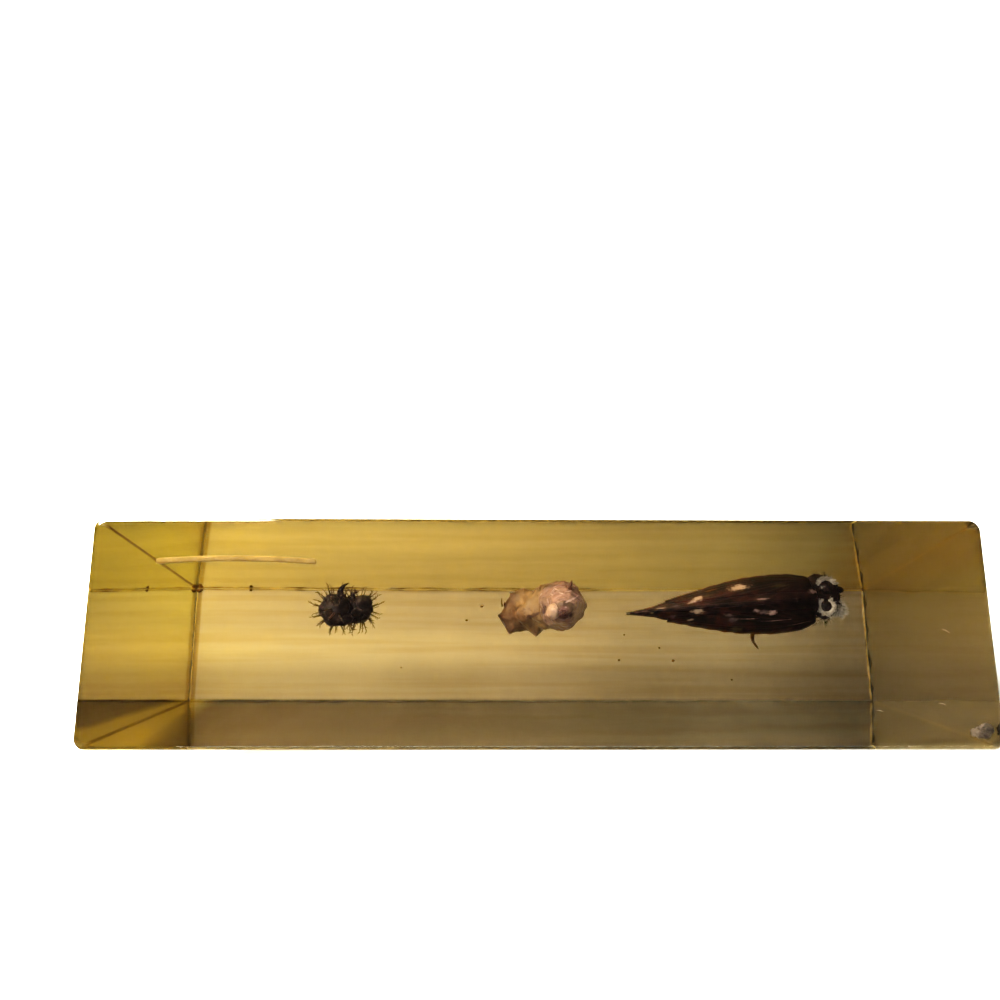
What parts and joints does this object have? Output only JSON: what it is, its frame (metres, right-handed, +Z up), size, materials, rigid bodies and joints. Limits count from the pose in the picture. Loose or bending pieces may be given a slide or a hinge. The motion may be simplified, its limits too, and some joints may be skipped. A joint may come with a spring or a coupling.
{
  "type": "insect in resin block",
  "caption": "Clear amber-toned resin bar with leaning walls, holding a curled spiny larva, a chrysalis, a butterfly with folded wings and a pale strip.",
  "frame": {"origin": "centre of the bar's bottom face, which it rests on", "axes": "+Z up towards the larger top face, +X along the bar from the larva to the butterfly, +Y towards the wall with the pale strip"},
  "size_m": [0.1298, 0.0328, 0.044],
  "materials": {
    "resin": "clear cast resin, amber toned, polished, with faint pour lines",
    "larva_skin": "near black, dull, with translucent brown spine tips",
    "chrysalis_case": "brown, satin, with a mauve ringed end",
    "butterfly_scales": "very dark red-brown with cream spots, dull",
    "strip": "pale, dull"
  },
  "bodies": {
    "root": {"resin_lower": "resin", "resin_upper": "resin", "larva": "larva_skin", "chrysalis": "chrysalis_case", "butterfly": "butterfly_scales", "pale_strip": "strip"}
  },
  "joints": []
}
